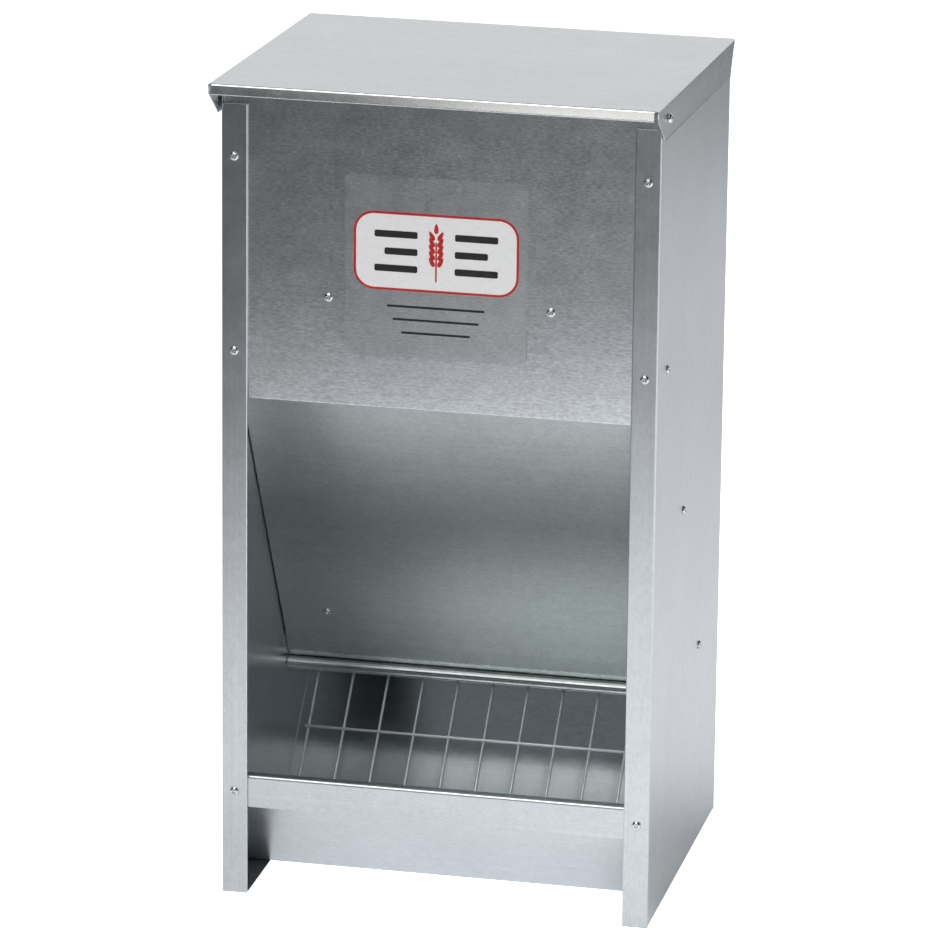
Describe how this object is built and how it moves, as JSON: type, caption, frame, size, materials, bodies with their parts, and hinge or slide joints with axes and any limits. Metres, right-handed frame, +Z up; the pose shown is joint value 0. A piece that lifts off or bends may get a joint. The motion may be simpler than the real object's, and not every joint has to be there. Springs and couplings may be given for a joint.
{
  "type": "gravity poultry feeder",
  "caption": "Free-standing galvanised sheet-metal gravity feeder: hopper with sloping baffle, hinged lid, and a low trough covered by an inclined wire grid.",
  "frame": {"origin": "on the ground below the middle of the lid, which reaches further forward than the body", "axes": "+Z up, the feeding opening faces -Y, +X towards the side that is on the right in a front view"},
  "size_m": [0.3162, 0.2862, 0.59],
  "materials": {
    "galvanised_sheet": "zinc-coated sheet, satin, fine grain",
    "galvanised_wire": "zinc-coated wire, satin to bright",
    "rivet_metal": "bright domed blind rivets",
    "label_film": "clear film sticker with a plain printed patch"
  },
  "bodies": {
    "body": {"side_panel_left": "galvanised_sheet", "side_panel_right": "galvanised_sheet", "front_panel": "galvanised_sheet", "back_panel": "galvanised_sheet", "baffle": "galvanised_sheet", "trough": "galvanised_sheet", "wire_grid": "galvanised_wire", "label": "label_film", "front_rivet_left_1": "rivet_metal", "front_rivet_left_2": "rivet_metal", "front_rivet_left_3": "rivet_metal", "front_rivet_right_1": "rivet_metal", "front_rivet_right_2": "rivet_metal", "front_rivet_right_3": "rivet_metal", "back_rivet_left_1": "rivet_metal", "back_rivet_left_2": "rivet_metal", "back_rivet_left_3": "rivet_metal", "back_rivet_right_1": "rivet_metal", "back_rivet_right_2": "rivet_metal", "back_rivet_right_3": "rivet_metal", "baffle_side_rivet_left_1": "rivet_metal", "baffle_side_rivet_left_2": "rivet_metal", "baffle_side_rivet_left_3": "rivet_metal", "baffle_side_rivet_right_1": "rivet_metal", "baffle_side_rivet_right_2": "rivet_metal", "baffle_side_rivet_right_3": "rivet_metal", "panel_rivet_left": "rivet_metal", "panel_rivet_right": "rivet_metal", "trough_rivet_left": "rivet_metal", "trough_rivet_right": "rivet_metal", "baffle_face_rivet": "rivet_metal", "lid_pin_left": "rivet_metal", "lid_pin_right": "rivet_metal"},
    "lid": {"lid": "galvanised_sheet"}
  },
  "joints": [
    {"name": "lid_hinge", "type": "hinge", "parent": "body", "child": "lid", "pos_m": [0, -0.10624, 0.577], "axis": [1, 0, 0], "range_deg": [0, 80]}
  ]
}
